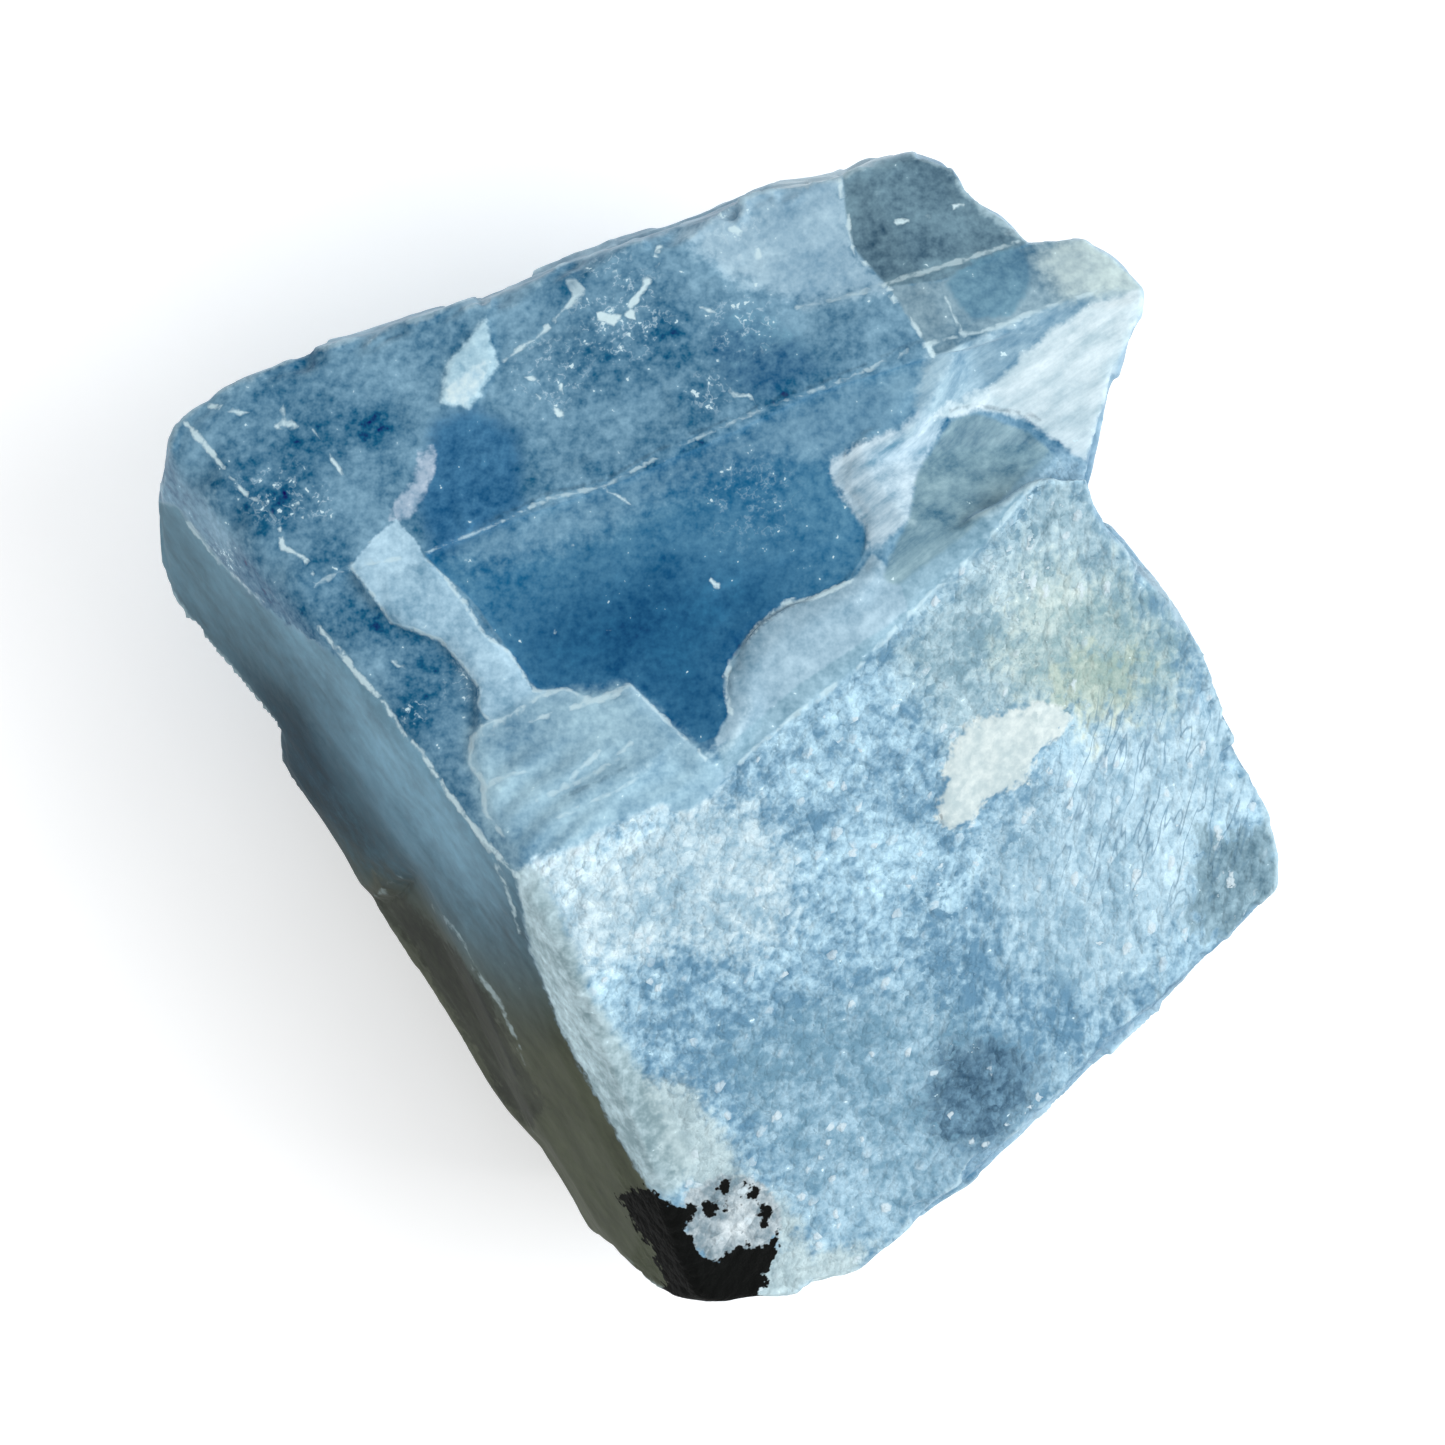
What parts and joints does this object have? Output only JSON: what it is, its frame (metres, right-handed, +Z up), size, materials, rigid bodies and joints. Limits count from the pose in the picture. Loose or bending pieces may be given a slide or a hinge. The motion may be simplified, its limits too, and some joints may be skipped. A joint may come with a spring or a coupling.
{
  "type": "raw calcite",
  "caption": "Rough blue calcite lump with two broad cleavage faces meeting in a crest, a steep flank, stepped ledges and a notched edge, lying on a flat break.",
  "frame": {"origin": "middle of the footprint's bounding box, on the plane that the stone rests on", "axes": "+Z up from the resting face, +Y towards the peak of the straight upper edge, +X towards the notched side"},
  "size_m": [0.0456, 0.0466, 0.0257],
  "materials": {
    "calcite": "translucent blue-grey calcite, waxy on the clean cleavage faces and frosted white where it is worn"
  },
  "bodies": {
    "root": {"raw_calcite": "calcite"}
  },
  "joints": []
}
